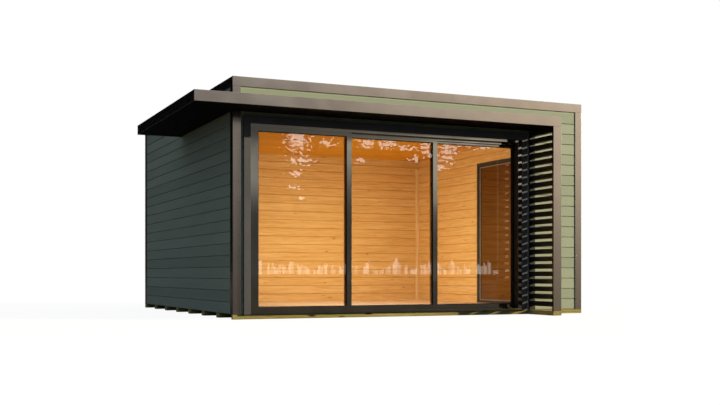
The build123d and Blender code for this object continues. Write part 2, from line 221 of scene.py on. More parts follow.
# The floor. To the camera it is nearly white and keeps the pod's shadow, and to all else it is a dull stone.
ground_reach = 60.0
ground_mesh = bpy.data.meshes.new("ground")
ground_mesh.from_pydata(
    [(x * ground_reach, y * ground_reach, 0.0) for x, y in ((-1, -1), (1, -1), (1, 1), (-1, 1))],
    [],
    [(0, 1, 2, 3)],
)
ground = bpy.data.objects.new("ground", ground_mesh)
bpy.context.scene.collection.objects.link(ground)
ground_look = bpy.data.materials.new("pale studio floor")
ground_look.use_nodes = True
tree = ground_look.node_tree
tree.nodes.clear()
seen = add(tree, "LightPath", out="Is Camera Ray")
lit = add(tree, "BsdfDiffuse", {"Color": linear("#5C5850")})
glow = add(tree, "Emission", {"Strength": add(tree, "Math", {0: seen, 1: 0.93}, operation="MULTIPLY")})
add(tree, "OutputMaterial", {"Surface": add(tree, "AddShader", {0: lit, 1: glow})})
ground_mesh.materials.append(ground_look)


# The bearers. Flat lengths of pressure-treated softwood, rough from the saw, laid on the ground to carry
# the floor and the walls, with one along the front edge and a short one under the wing.
def finish(name, **sockets):
    """A new material with one Principled shader, whose constant sockets are set here. Returns the material,
    its tree, the shader and the piece's own coordinates in metres."""
    made = bpy.data.materials.new(name)
    made.use_nodes = True
    tree = made.node_tree
    shader = tree.nodes["Principled BSDF"]
    for key, value in sockets.items():
        shader.inputs[key.replace("_", " ")].default_value = value
    return made, tree, shader, add(tree, "TexCoord", out="Object")


def wire(tree, shader, **sources):
    """Links an output to each named socket of the shader."""
    for key, source in sources.items():
        tree.links.new(source, shader.inputs[key.replace("_", " ")])


def rounded(width, height, radius, steps=3):
    """The outline of a bar's end, counterclockwise from its lower right: a rectangle from (0, 0) to
    (width, height) whose corners are quarter circles of the given radius, each of steps straight parts."""
    turned = np.linspace(-np.pi / 2, 0.0, steps + 1) + np.arange(4)[:, None] * np.pi / 2
    right, top = width - radius, height - radius
    centres = np.array([[right, radius], [right, top], [radius, top], [radius, radius]])
    arcs = centres[:, None] + radius * np.stack([np.cos(turned), np.sin(turned)], -1)
    return arcs.reshape(-1, 2)


def bars(outline, starts, ends, across, up):
    """Straight bars, all worked out together. An outline point (u, v) becomes start + u * across + v * up
    and end + u * across + v * up, neighbours on the two rings are joined by quads, and the outline closes
    each end. outline is one for all, or one for each bar. Returns the points and the faces, those of a
    bar's sides first."""
    starts, ends, across, up = (np.asarray(v, float) for v in (starts, ends, across, up))
    starts, ends = np.atleast_2d(starts), np.atleast_2d(ends)
    if np.dot(np.cross(across, up), ends[0] - starts[0]) < 0:
        outline = outline[..., ::-1, :]
    count, corners = len(starts), outline.shape[-2]
    ring = np.broadcast_to(outline[..., :1] * across + outline[..., 1:] * up, (count, corners, 3))
    points = np.stack([starts[:, None] + ring, ends[:, None] + ring], 1).reshape(-1, 3)
    i = np.arange(corners)
    j = (i + 1) % corners
    first = np.arange(count)[:, None, None] * 2 * corners
    sides = (first + np.stack([i, j, j + corners, i + corners], 1)).reshape(-1, 4)
    caps = (first + np.stack([i[::-1], i + corners])).reshape(-1, corners)
    return points, sides.tolist() + caps.tolist()


x_axis, y_axis, z_axis = np.eye(3)


def block(low, high, radius):
    """The bar that fills the box from low to high, along its longest side, with rounded long edges."""
    low, high = np.array(low), np.array(high)
    size = high - low
    along = int(np.argmax(size))
    across, up = {0: (y_axis, z_axis), 1: (x_axis, z_axis), 2: (x_axis, y_axis)}[along]
    outline = rounded(size @ across, size @ up, radius)
    return bars(outline, low, low + size * np.eye(3)[along], across, up)


def solid(name, shape, *looks, slot, which=None, smooth=0.6, body="pod", instead=None):
    """A mesh object from (points, faces) with its materials, which rides on a body of the model and stands
    for the node instead, if one is given. which holds each face's material. Edges that turn by less than
    smooth radians are shaded round, and the weighted normals keep the wide faces beside them flat."""
    points, faces = shape
    mesh = bpy.data.meshes.new(name)
    mesh.from_pydata(points.tolist(), [], faces)
    for look in looks:
        mesh.materials.append(look)
    if which is not None:
        mesh.polygons.foreach_set("material_index", np.asarray(which, np.int32))
    mesh.polygons.foreach_set("use_smooth", np.ones(len(faces), bool))
    mesh.set_sharp_from_angle(angle=smooth)
    mesh.update()
    made = bpy.data.objects.new(name, mesh)
    bpy.context.scene.collection.objects.link(made)
    made.modifiers.new("flat faces stay flat", "WEIGHTED_NORMAL").keep_sharp = True
    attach(made, body)
    if instead:
        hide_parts(instead)


# Treated spruce off the band saw: yellow-green, with long pale and brown streaks, a knot now and then and a
# fuzzy face that scatters light, so it never shines.
def sawn_timber(name, along):
    """Sawn, treated softwood with its grain along axis 0 or 1."""
    made, tree, shader, place = finish(name, Roughness=0.9, Specular_IOR_Level=0.2)
    streak_size, patch_size, knot_gap = np.full(3, 0.014), np.full(3, 0.09), np.full(3, 0.075)
    streak_size[along], patch_size[along], knot_gap[along] = 0.45, 0.33, 0.34
    streaks = add(tree, "Mapping", {"Vector": place, "Scale": 1 / streak_size})
    streak = add(tree, "TexNoise", {"Vector": streaks, "Scale": 1.0, "Detail": 5.0, "Distortion": 0.6})
    tone = add(tree, "ValToRGB", {"Fac": streak}, stops=[
        (0.28, linear("#756230")), (0.5, linear("#9F8B49")), (0.74, linear("#B9A666")),
    ])
    patches = add(tree, "Mapping", {"Vector": place, "Scale": 1 / patch_size})
    patch = add(tree, "TexNoise", {"Vector": patches, "Scale": 1.0, "Detail": 2.0})
    greener = add(tree, "ValToRGB", {"Fac": patch}, stops=[(0.4, 0.0), (0.62, 0.55)])
    green = add(tree, "Mix", {"Factor": greener, "A": tone, "B": linear("#7F7D35")}, data_type="RGBA")
    spots = add(tree, "Mapping", {"Vector": place, "Scale": 1 / knot_gap})
    distance = add(tree, "TexVoronoi", {"Vector": spots, "Scale": 1.0}, "Distance")
    knot = add(tree, "ValToRGB", {"Fac": distance}, stops=[(0.10, 1.0), (0.20, 0.0)])
    colour = add(tree, "Mix", {"Factor": knot, "A": green, "B": linear("#35220E")}, data_type="RGBA")
    saw_marks = add(tree, "TexNoise", {"Vector": place, "Scale": 420.0})
    rough = add(tree, "Mix", {"Factor": 0.5, "A": streak, "B": saw_marks})
    dent = add(tree, "Bump", {"Height": rough, "Strength": 0.7, "Distance": 0.0012})
    wire(tree, shader, Base_Color=colour, Normal=dent)
    return made


sawn_across = sawn_timber("pressure-treated spruce, sawn, laid left to right", 0)
sawn_deep = sawn_timber("pressure-treated spruce, sawn, laid front to back", 1)
arris = 0.003
for name, node, timber in (
    ("front_bearer_timber", "front_bearer", sawn_across),
    ("wing_sole_timber", "wing_sole", sawn_deep),
):
    solid(name, block(*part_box(node), arris), timber, instead=node, slot="bearer_timber")

low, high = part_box("floor_bearers")
bearer_width = 0.110
bearer_count = 7
backs = np.linspace(low.y + bearer_width, high.y, bearer_count)
starts = np.stack([np.full(bearer_count, low.x), backs - bearer_width, np.full(bearer_count, low.z)], 1)
ends = starts + (high.x - low.x) * x_axis
timbers = bars(rounded(bearer_width, high.z - low.z, arris), starts, ends, y_axis, z_axis)
solid("floor_bearer_timber", timbers, sawn_across, instead="floor_bearers", slot="bearer_timber")


# The walls. Interlocking spruce boards 45 mm thick, laid flat on each other: outside, eased edges beside a
# narrow shadow gap, painted sage green, and inside a small V joint, left in clear lacquer.
course = 0.1225
wall_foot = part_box("left_wall")[0].z


def own_board(tree, place, pitch, foot, axis, step):
    """The coordinates pushed by up to step metres, differently for each board, so that no grain runs on
    from one board to the next, each board's own random number, and how many boards a point lies from the
    first one's edge. Boards lie pitch apart along axis, counted from foot."""
    far = add(tree, "SeparateXYZ", {"Vector": place}, axis)
    count = add(tree, "Math", {0: far, 1: foot}, operation="SUBTRACT")
    turns = add(tree, "Math", {0: count, 1: pitch}, operation="DIVIDE")
    whole = add(tree, "Math", {0: turns}, operation="FLOOR")
    push = add(tree, "TexWhiteNoise", {"W": whole}, "Color", noise_dimensions="1D")
    moved = add(tree, "VectorMath", {0: push, 1: (step, step, step), 2: place}, operation="MULTIPLY_ADD")
    chance = add(tree, "TexWhiteNoise", {"W": whole}, "Value", noise_dimensions="1D")
    return moved, chance, turns


# Microporous wood paint, brushed on: the grain just shows as long fine ridges, and each board took it a
# little differently, so tone and sheen shift from board to board.
def painted_boards(name, deep, light):
    """Painted cladding between two tones."""
    made, tree, shader, place = finish(name, Specular_IOR_Level=0.35)
    moved, chance, _ = own_board(tree, place, course, wall_foot, "Z", 7.0)
    ridges = add(tree, "Mapping", {"Vector": moved, "Scale": (1 / 0.6, 1 / 0.6, 1 / 0.007)})
    grain = add(tree, "TexNoise", {"Vector": ridges, "Scale": 1.0, "Detail": 5.0, "Distortion": 0.3})
    clouds = add(tree, "Mapping", {"Vector": moved, "Scale": (1 / 1.1, 1 / 1.1, 1 / 0.16)})
    cloud = add(tree, "TexNoise", {"Vector": clouds, "Scale": 1.0, "Detail": 3.0})
    uneven = add(tree, "Mix", {"Factor": 0.5, "A": chance, "B": cloud})
    base = add(tree, "ValToRGB", {"Fac": uneven}, stops=[(0.2, linear(deep)), (0.8, linear(light))])
    shade = add(tree, "ValToRGB", {"Fac": grain}, stops=[(0.3, 0.0), (0.75, 0.2)])
    colour = add(tree, "Mix", {"Factor": shade, "A": base, "B": linear(deep, 0.72)}, data_type="RGBA")
    sheen = add(tree, "MapRange", {"Value": cloud, "To Min": 0.5, "To Max": 0.68})
    dent = add(tree, "Bump", {"Height": grain, "Strength": 0.35, "Distance": 0.0008})
    wire(tree, shader, Base_Color=colour, Roughness=sheen, Normal=dent)
    return made


# Spruce, planed and lacquered: straw to honey coloured, with growth rings drawn out into long streaks,
# darker late wood, small brown knots, and a dark line of shade and dust in each joint.
def planed_spruce(name, pitch, foot, stacked, grain, tints):
    """Planed spruce boards, side by side along the axis stacked, with their grain along the axes in grain."""
    lacquer = {"Specular_IOR_Level": 0.4, "Coat_Weight": 0.12, "Coat_Roughness": 0.3}
    made, tree, shader, place = finish(name, **lacquer)
    moved, chance, turns = own_board(tree, place, pitch, foot, stacked, 9.0)
    pale, mid, dark = (linear(tint) for tint in tints)
    runs = np.array([axis in grain for axis in "XYZ"])
    ring_grid = add(tree, "Mapping", {"Vector": moved, "Scale": np.where(runs, 1 / 1.1, 1 / 0.038)})
    rings = add(tree, "TexNoise", {
        "Vector": ring_grid, "Scale": 1.0, "Detail": 4.0, "Roughness": 0.55, "Distortion": 0.4,
    })
    base = add(tree, "ValToRGB", {"Fac": rings}, stops=[(0.28, pale), (0.5, mid), (0.62, dark), (0.74, mid)])
    deeper = add(tree, "Math", {0: chance, 1: 0.4}, operation="MULTIPLY")
    toned = add(tree, "Mix", {"Factor": deeper, "A": base, "B": dark}, data_type="RGBA")
    fibre_grid = add(tree, "Mapping", {"Vector": moved, "Scale": np.where(runs, 1 / 0.26, 1 / 0.011)})
    fibre = add(tree, "TexNoise", {"Vector": fibre_grid, "Scale": 1.0, "Detail": 3.0})
    streak = add(tree, "ValToRGB", {"Fac": fibre}, stops=[(0.46, 0.0), (0.66, 0.34)])
    streaky = add(tree, "Mix", {"Factor": streak, "A": toned, "B": linear("#A8702C")}, data_type="RGBA")
    spots = add(tree, "Mapping", {"Vector": moved, "Scale": np.where(runs, 1 / 0.3, 1 / 0.12)})
    distance = add(tree, "TexVoronoi", {"Vector": spots, "Scale": 1.0}, "Distance")
    knot = add(tree, "ValToRGB", {"Fac": distance}, stops=[(0.035, 0.8), (0.06, 0.4), (0.11, 0.0)])
    knotty = add(tree, "Mix", {"Factor": knot, "A": streaky, "B": linear("#8A5222")}, data_type="RGBA")
    over = add(tree, "Math", {0: turns}, operation="FRACT")
    joint = add(tree, "ValToRGB", {"Fac": over}, stops=[(0.0, 0.6), (0.024, 0.0), (0.976, 0.0), (1.0, 0.6)])
    colour = add(tree, "Mix", {"Factor": joint, "A": knotty, "B": linear("#6B3A10")}, data_type="RGBA")
    gloss = add(tree, "MapRange", {"Value": fibre, "To Min": 0.42, "To Max": 0.6})
    both = add(tree, "Mix", {"Factor": 0.5, "A": rings, "B": fibre})
    dent = add(tree, "Bump", {"Height": both, "Strength": 0.3, "Distance": 0.0007})
    wire(tree, shader, Base_Color=colour, Roughness=gloss, Normal=dent)
    return made


def outlines(corners):
    """The outlines of several boards at once, in an array of boards by corners by 2. corners holds each
    corner's (u, v), of which either is one number for all boards or an array with one for each."""
    values = np.broadcast_arrays(*(value for corner in corners for value in corner))
    return np.stack(values, -1).reshape(len(values[0]), -1, 2)


sage_paint = painted_boards("sage wood paint, brushed on spruce", "#8D9473", "#9DA380")
inner_spruce = planed_spruce("planed spruce, clear lacquer", course, wall_foot, "Z", "XY",
                             ("#E3BB78", "#DDB06A", "#D5A55C"))

# For each wall, the way into the room and the way along its boards.
walls = {
    "left_wall": (x_axis, y_axis),
    "right_wall_front": (-x_axis, y_axis),
    "right_wall_back": (-x_axis, y_axis),
    "right_wall_header": (-x_axis, y_axis),
    "back_wall": (-y_axis, x_axis),
    "front_wall_left": (y_axis, x_axis),
    "front_wall_right": (y_axis, x_axis),
    "front_wall_header": (y_axis, x_axis),
}
outside_gap = 0.0025
room_gap = 0.0035
cut_gap = 0.0001
gap_depth = 0.010
eased = 0.0035
sawn_edge = 0.0006
# A joint that would lie closer to the fascia's lower edge than this is moved to just under it.
joint_shift = 0.03
fascia_gap = 0.002
under_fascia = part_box("roof_fascia_front")[0].z - fascia_gap
for node, (inward, along) in walls.items():
    low, high = (np.array(v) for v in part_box(node))
    thick = abs((high - low) @ inward)
    outer = np.where(inward > 0, low, np.where(inward < 0, high, 0.0))
    start = outer + low * along
    end = outer + high * along
    first = int(np.floor((low[2] - wall_foot) / course + 1e-6))
    last = int(np.ceil((high[2] - wall_foot) / course - 1e-6))
    joints = wall_foot + course * np.arange(first, last + 1)
    joints[np.abs(joints - under_fascia) < joint_shift] = under_fascia
    bottom = np.clip(joints[:-1], low[2], high[2])
    top = np.clip(joints[1:], low[2], high[2])
    # A board cut through at an opening is sharp there, and every other edge has its half of the joint.
    whole = (bottom == joints[:-1], top == joints[1:])
    gap_low, gap_high = (np.where(edge, outside_gap, sawn_edge) for edge in whole)
    slit_low, slit_high = (np.where(edge, room_gap, cut_gap) for edge in whole)
    ease_low, ease_high = (np.where(edge, eased, sawn_edge) for edge in whole)
    tongue = thick - gap_depth
    outline = outlines([
        (gap_depth, bottom), (tongue, bottom), (tongue, bottom + slit_low),
        (thick - ease_low, bottom + slit_low), (thick, bottom + slit_low + ease_low),
        (thick, top - slit_high - ease_high), (thick - ease_high, top - slit_high),
        (tongue, top - slit_high), (tongue, top), (gap_depth, top),
        (gap_depth, top - gap_high), (ease_high, top - gap_high), (0.0, top - gap_high - ease_high),
        (0.0, bottom + gap_low + ease_low), (ease_low, bottom + gap_low), (gap_depth, bottom + gap_low),
    ])
    count = len(bottom)
    shape = bars(outline, np.tile(start, (count, 1)), np.tile(end, (count, 1)), inward, z_axis)
    # The faces between the outline's second and ninth points are inside the room.
    side = np.repeat([0, 1, 0], [1, 7, 8])
    if np.dot(np.cross(inward, z_axis), end - start) < 0:
        side = np.roll(side[::-1], -1)
    which = np.concatenate([np.tile(side, count), np.zeros(2 * count, int)])
    solid(node + "_boards", shape, sage_paint, inner_spruce, which=which, instead=node, slot="wall_boards")


# The corner laths. Flat planed spruce, nailed upright inside the room, over the ends of the back wall's
# boards.
def joined(*parts):
    """Several (points, faces) as one: each part's faces are counted on from the points before it."""
    points = np.concatenate([p for p, _ in parts])
    before = np.cumsum([0] + [len(p) for p, _ in parts[:-1]])
    faces = [(np.asarray(face) + b).tolist() for (_, fs), b in zip(parts, before) for face in fs]
    return points, faces


lath_width, lath_thick, lath_height = 0.048, 0.012, 2.04
(x0, y0, z0), (x1, y1, z1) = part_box("floor_boards")
laths = [
    block((left, y1 - lath_thick, z1), (left + lath_width, y1, z1 + lath_height), arris)
    for left in (x0, x1 - lath_width)
]
# To the wood, each lath is a board of its own, as wide as the room, so that no joint falls on a lath.
beside_room = 0.5
lath_spruce = planed_spruce("planed spruce lath, clear lacquer", x1 - x0, x0 - beside_room, "X", "YZ",
                            ("#F2D4A0", "#EBC68A", "#E2B878"))
solid("corner_laths", joined(*laths), lath_spruce, slot="wall_boards")


# The floor and the ceiling. Planed spruce boards with tongue and groove, the floor's from front to back and
# the ceiling's from left to right, with a fine V joint on the face that shows.
deck_pitch = 0.120
narrowest_deck = 0.02
floor_joint = 0.003
ceiling_joint = 0.008


def deck(low, high, along, face_up, joint, begin=None):
    """Boards of one pitch side by side across the axis along, from the box's start, or from begin(left) of
    each board, to its end, with both long edges of the face that shows cut back by joint. The last board is
    cut to the width that is left."""
    across = 1 - along
    edges = np.append(np.arange(low[across], high[across] - narrowest_deck, deck_pitch), high[across])
    left, width = edges[:-1], np.diff(edges)
    thick = high[2] - low[2]
    shown, hidden, cut = (thick, 0.0, -joint) if face_up else (0.0, thick, joint)
    outline = outlines([
        (0.0, hidden), (width, hidden), (width, shown + cut), (width - joint, shown), (joint, shown),
        (0.0, shown + cut),
    ])
    if not face_up:
        outline = outline[:, ::-1]
    start = np.tile(low, (len(width), 1))
    start[:, across] = left
    end = start.copy()
    end[:, along] = high[along]
    if begin:
        start[:, along] = begin(left)
    return bars(outline, start, end, np.eye(3)[across], z_axis)


# To the right of the door the floor runs on to the front wall, and elsewhere it ends at the door frame.
low, high = (np.array(v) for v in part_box("floor_boards"))
frame_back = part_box("door_jamb_left")[1].y
door_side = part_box("front_wall_right")[0].x
# The floor's tints are far paler than the walls' spruce: painted light, for the daylight on the floor.
floor_spruce = planed_spruce("planed spruce floor, matt lacquer", deck_pitch, low[0], "X", "Y",
                             ("#FFECCC", "#FCE0B6", "#F0CA98"))
shape = deck(low, high, 1, True, floor_joint, lambda left: np.where(left > door_side, low[1], frame_back))
solid("floor_deck", shape, floor_spruce, instead="floor_boards", slot="pine_boards")

low, high = (np.array(v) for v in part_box("ceiling_boards"))
ceiling_spruce = planed_spruce("planed spruce ceiling, clear lacquer", deck_pitch, low[1], "Y", "X",
                               ("#EFB62C", "#E7A61E", "#CF9018"))
shape = deck(low, high, 0, False, ceiling_joint)
solid("ceiling_deck", shape, ceiling_spruce, instead="ceiling_boards", slot="pine_boards")


# The corner trims. Aluminium sheet folded to an L and powder coated a metallic bronze grey, screwed over
# the ends of the wall boards with low domed screws.

# Metallic powder coat: fine flakes under a satin skin mirror the surroundings softly, the skin has a faint
# orange peel, and its sheen drifts in slow clouds.
def metallic_coat(name, colour, roughness, peel=0.3):
    """A metallic coat of one colour, with cloudy changes of tone and sheen."""
    made, tree, shader, place = finish(name, Metallic=1.0)
    cloud = add(tree, "TexNoise", {"Vector": place, "Scale": 1 / 0.4, "Detail": 2.0})
    flake = add(tree, "TexNoise", {"Vector": place, "Scale": 1 / 0.0011, "Detail": 1.0})
    duller = add(tree, "ValToRGB", {"Fac": flake}, stops=[(0.35, 0.0), (0.7, 0.25)])
    full, dim, dimmest = (linear(colour, gain) for gain in (1.0, 0.8, 0.72))
    tone = add(tree, "Mix", {"Factor": duller, "A": full, "B": dim}, data_type="RGBA")
    drift = add(tree, "ValToRGB", {"Fac": cloud}, stops=[(0.38, 0.0), (0.62, 0.8)])
    shade = add(tree, "Mix", {"Factor": drift, "A": tone, "B": dimmest}, data_type="RGBA")
    sheen = add(tree, "MapRange", {
        "Value": cloud, "From Min": 0.3, "From Max": 0.7,
        "To Min": roughness - 0.02, "To Max": roughness + 0.02,
    })
    waves = add(tree, "TexNoise", {"Vector": place, "Scale": 1 / 0.006})
    dent = add(tree, "Bump", {"Height": waves, "Strength": peel, "Distance": 0.0002})
    wire(tree, shader, Base_Color=shade, Roughness=sheen, Normal=dent)
    return made


trim_coat = metallic_coat("aluminium sheet, metallic bronze powder coat", "#C0B4A8", 0.21)
for corner in ("front_left", "front_right", "back_left", "back_right"):
    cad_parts["corner_trim_" + corner].material_slots[0].material = trim_coat


def screw_heads(places, outward, radius=0.004, rise=0.0016, around=12):
    """Domed heads: at each place, rings of around points at 1, 1, 0.8 and 0.4 of the radius stand 0, 0.3,
    0.75 and 1 of the rise out along the outward direction, with a flat middle."""
    side = np.cross(outward, z_axis)
    turned = np.linspace(0.0, 2 * np.pi, around, endpoint=False)[:, None]
    circle = np.cos(turned) * side + np.sin(turned) * z_axis
    reach = np.array([1.0, 1.0, 0.8, 0.4])[:, None, None] * radius
    lift = np.array([0.0, 0.3, 0.75, 1.0])[:, None, None] * rise
    ring = (circle * reach + outward * lift).reshape(-1, 3)
    points = (np.asarray(places)[:, None] + ring).reshape(-1, 3)
    index = np.arange(len(points)).reshape(len(places), len(reach), around)
    after = np.roll(index, -1, axis=2)
    quads = np.stack([after[:, :-1], index[:, :-1], index[:, 1:], after[:, 1:]], -1).reshape(-1, 4)
    caps = index[:, -1, ::-1].reshape(-1, around)
    return points, quads.tolist() + caps.tolist()


pod_low, pod_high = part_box("corner_trim_front_left")[0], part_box("corner_trim_back_right")[1]
near, far = (np.array([v.x, v.y, 0.0]) for v in (pod_low, pod_high))
screw_inset = 0.066
screw_end = 0.09
screws_up = 5
heights = np.linspace(pod_low.z + screw_end, pod_high.z - screw_end, screws_up)
heads = []
for along, across in ((x_axis, y_axis), (y_axis, x_axis)):
    for outward, plane in ((-across, near @ across), (across, far @ across)):
        spots = (near @ along + screw_inset, far @ along - screw_inset)
        places = [plane * across + spot * along + h * z_axis for spot in spots for h in heights]
        heads.append(screw_heads(places, outward))

# Stainless steel, brushed round: bright but soft, with marks too fine to tell apart.
screw_steel, tree, shader, place = finish("stainless screw heads, brushed round", Metallic=1.0)
brushed = add(tree, "TexNoise", {"Vector": place, "Scale": 1 / 0.0008})
steel_tone = add(tree, "ValToRGB", {"Fac": brushed}, stops=[
    (0.3, linear("#8E8880")), (0.7, linear("#A39C92")),
])
steel_sheen = add(tree, "MapRange", {"Value": brushed, "To Min": 0.25, "To Max": 0.45})
wire(tree, shader, Base_Color=steel_tone, Roughness=steel_sheen)
solid("corner_trim_screws", joined(*heads), screw_steel, smooth=1.0, slot="metal_trim")


# The roof. Boards under grey membrane in three strips, which turns up against the fascia all round. Where
# the strips are welded over each other, the laps show as low steps.
def sheet_over(xs, ys, height, bottom):
    """A closed slab: a grid of points at (x, y, height(x, y)) faces up, the same grid at bottom faces down,
    and a band of quads joins the two rims."""
    x, y = np.meshgrid(xs, ys, indexing="ij")
    top = np.stack([x, y, height(x, y)], -1).reshape(-1, 3)
    under = top * (1, 1, 0) + (0, 0, bottom)
    rows, columns = len(xs), len(ys)
    count = rows * columns
    index = np.arange(count).reshape(rows, columns)
    quads = np.stack([index[:-1, :-1], index[1:, :-1], index[1:, 1:], index[:-1, 1:]], -1).reshape(-1, 4)
    rim = np.concatenate([index[:-1, 0], index[-1, :-1], index[:0:-1, -1], index[0, :0:-1]])
    after = np.roll(rim, -1)
    band = np.stack([after, rim, rim + count, after + count], 1)
    faces = np.concatenate([quads, quads[:, ::-1] + count, band])
    return np.concatenate([top, under]), faces.tolist()


# Roofing membrane: mid grey, matt, with a fine woven grain and dust where water has stood.
def rubber(name):
    """Dusty grey roofing membrane."""
    made, tree, shader, place = finish(name, Roughness=0.85, Specular_IOR_Level=0.3)
    dust = add(tree, "TexNoise", {"Vector": place, "Scale": 1 / 0.45, "Detail": 6.0})
    base = add(tree, "ValToRGB", {"Fac": dust}, stops=[
        (0.3, linear("#3F4142")), (0.55, linear("#4C4E4E")), (0.75, linear("#616160")),
    ])
    weave = add(tree, "TexNoise", {"Vector": place, "Scale": 1 / 0.004, "Detail": 3.0})
    dent = add(tree, "Bump", {"Height": weave, "Strength": 0.4, "Distance": 0.0006})
    wire(tree, shader, Base_Color=base, Normal=dent)
    return made


membrane_grey = rubber("roofing membrane, welded")
low, high = (np.array(v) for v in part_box("roof_deck"))
upstand_drop = 0.006
upstand_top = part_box("roof_fascia_front")[1].z - upstand_drop
cove = 0.045
lap_step = 0.003
strip_width = (high[0] - low[0]) / 3
lap_slope = 0.02


def roof_height(x, y):
    """The deck's top, one lap step higher on the middle strip, with a slope of lap_slope of a strip's width
    on each side, and rising to the upstand in a quarter-sine cove within a cove's width of the edge."""
    edge = np.minimum(np.minimum(x - low[0], high[0] - x), np.minimum(y - low[1], high[1] - y))
    rise = 1 - np.sin(np.clip(edge / cove, 0, 1) * np.pi / 2)
    outside = np.clip(np.abs((x - low[0]) / strip_width - 1.5) - 0.5, 0.0, lap_slope) / lap_slope
    return high[2] + lap_step * (1 - outside) + rise * (upstand_top - high[2] - lap_step)


edge_steps = cove * np.linspace(0.0, 1.0, 7)
# Grid lines on both sides of each lap, in widths of a strip.
lap_lines = strip_width * np.array([0.975, 0.995, 1.0, 1.995, 2.0, 2.02])
middle_xs = np.concatenate([np.linspace(low[0] + 2 * cove, high[0] - 2 * cove, 14), low[0] + lap_lines])
middle_ys = np.linspace(low[1] + 2 * cove, high[1] - 2 * cove, 12)
xs = np.concatenate([low[0] + edge_steps, np.sort(middle_xs), high[0] - edge_steps[::-1]])
ys = np.concatenate([low[1] + edge_steps, middle_ys, high[1] - edge_steps[::-1]])
solid("roof_membrane", sheet_over(xs, ys, roof_height, low[2]), membrane_grey,
      instead="roof_deck", slot="roof_covering")


# The roof fascia. Four folded lengths of the same coated sheet on edge round the roof, flush with the
# corner trims, with softly rounded folds.
fold = 0.0025
for side in ("front", "back", "left", "right"):
    node = "roof_fascia_" + side
    solid(node + "_sheet", block(*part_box(node), fold), trim_coat, instead=node, slot="metal_trim")


# The canopy. Two flat slabs, over the front and half of the left side: membrane on top, dark stained soffit
# boards below, their near-black partly painted shade, and coated fascia round the open edges, with the
# soffit's stain on its underside as painted shade.

# Stain nearly black, soaked into the spruce, so a trace of brown and of grain is left. Its near-black is
# partly painted shade: it also stands for the shade under the canopy.
def dark_stain_and_shade(name):
    """Soffit boards in dark stain, whose near-black is also painted shade."""
    made, tree, shader, place = finish(name, Roughness=0.8, Specular_IOR_Level=0.1)
    grain = add(tree, "TexNoise", {"Vector": place, "Scale": 1 / 0.03, "Detail": 4.0})
    base = add(tree, "ValToRGB", {"Fac": grain}, stops=[(0.3, linear("#050403")), (0.7, linear("#0D0906"))])
    dent = add(tree, "Bump", {"Height": grain, "Strength": 0.3, "Distance": 0.0006})
    wire(tree, shader, Base_Color=base, Normal=dent)
    return made


def by_look(*groups):
    """The parts of all groups as one shape, and each face's material, which is its group's number."""
    counts = [sum(len(faces) for _, faces in group) for group in groups]
    return joined(*(part for group in groups for part in group)), np.repeat(np.arange(len(groups)), counts)


soffit_stain_and_shade = dark_stain_and_shade("spruce soffit boards, black stain and painted shade")
soffit_pitch = 0.098
narrowest_soffit = 0.03
soffit_thick = 0.018
soffit_joint = 0.004
top_sheet = 0.004
sheet_edge = 0.001


def soffit(low, high, along):
    """V-jointed boards along one axis under the box, a dark core between them and the top, and the top
    sheet, each as a straight bar. Returns the shape and each face's material."""
    across = y_axis if along == 0 else x_axis
    width, thick = (high - low) @ across, high[2] - low[2]
    edges = np.append(np.arange(0.0, width - narrowest_soffit, soffit_pitch), width)
    left, board = edges[:-1], np.diff(edges)
    outline = outlines([
        (soffit_joint, 0.0), (board - soffit_joint, 0.0), (board, soffit_joint), (board, soffit_thick),
        (0.0, soffit_thick), (0.0, soffit_joint),
    ])
    run = (high - low) * np.eye(3)[along]
    start = low + left[:, None] * across
    boards = bars(outline, start, start + run, across, z_axis)
    start = low + soffit_thick * z_axis
    outline = rounded(width, thick - soffit_thick - top_sheet, sheet_edge, 1)
    core = bars(outline, start, start + run, across, z_axis)
    start = low + (thick - top_sheet) * z_axis
    sheet = bars(rounded(width, top_sheet, sheet_edge, 1), start, start + run, across, z_axis)
    return by_look([boards, core], [sheet])


for node, along in (("canopy_front_slab", 0), ("canopy_side_slab", 1)):
    shape, which = soffit(*(np.array(v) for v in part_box(node)), along)
    solid(node + "_boards", shape, soffit_stain_and_shade, membrane_grey, which=which,
          instead=node, slot="canopy_soffit")
for side in ("front", "left", "end", "right"):
    node = "canopy_fascia_" + side
    points, faces = block(*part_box(node), fold)
    # The faces that look straight down take the soffit's stain as painted shade.
    corners = points[np.array([face[:4] for face in faces])]
    normal = np.cross(corners[:, 2] - corners[:, 0], corners[:, 3] - corners[:, 1])
    which = normal[:, 2] < -0.9 * np.linalg.norm(normal, axis=1)
    solid(node + "_sheet", (points, faces), trim_coat, soffit_stain_and_shade, which=which,
          instead=node, slot="metal_trim")


# The wing. A front leg behind a coated cover strip, a flat post at the wall and level box section slats let
# in between them. The leg's black-brown sides, beside its bronze front strip, are painted shade.

# Matt powder coat: a dull skin with a fine grain, that scatters light and hardly mirrors.
def matt_coat(name, colour, roughness):
    """A matt coat of one colour, a little uneven."""
    made, tree, shader, place = finish(name, Specular_IOR_Level=0.3)
    cloud = add(tree, "TexNoise", {"Vector": place, "Scale": 1 / 0.4, "Detail": 3.0})
    shade = add(tree, "ValToRGB", {"Fac": cloud}, stops=[
        (0.3, linear(colour, 0.85)), (0.7, linear(colour, 1.1)),
    ])
    sheen = add(tree, "MapRange", {"Value": cloud, "To Min": roughness - 0.05, "To Max": roughness + 0.05})
    grit = add(tree, "TexNoise", {"Vector": place, "Scale": 1 / 0.0016})
    dent = add(tree, "Bump", {"Height": grit, "Strength": 0.3, "Distance": 0.0002})
    wire(tree, shader, Base_Color=shade, Roughness=sheen, Normal=dent)
    return made


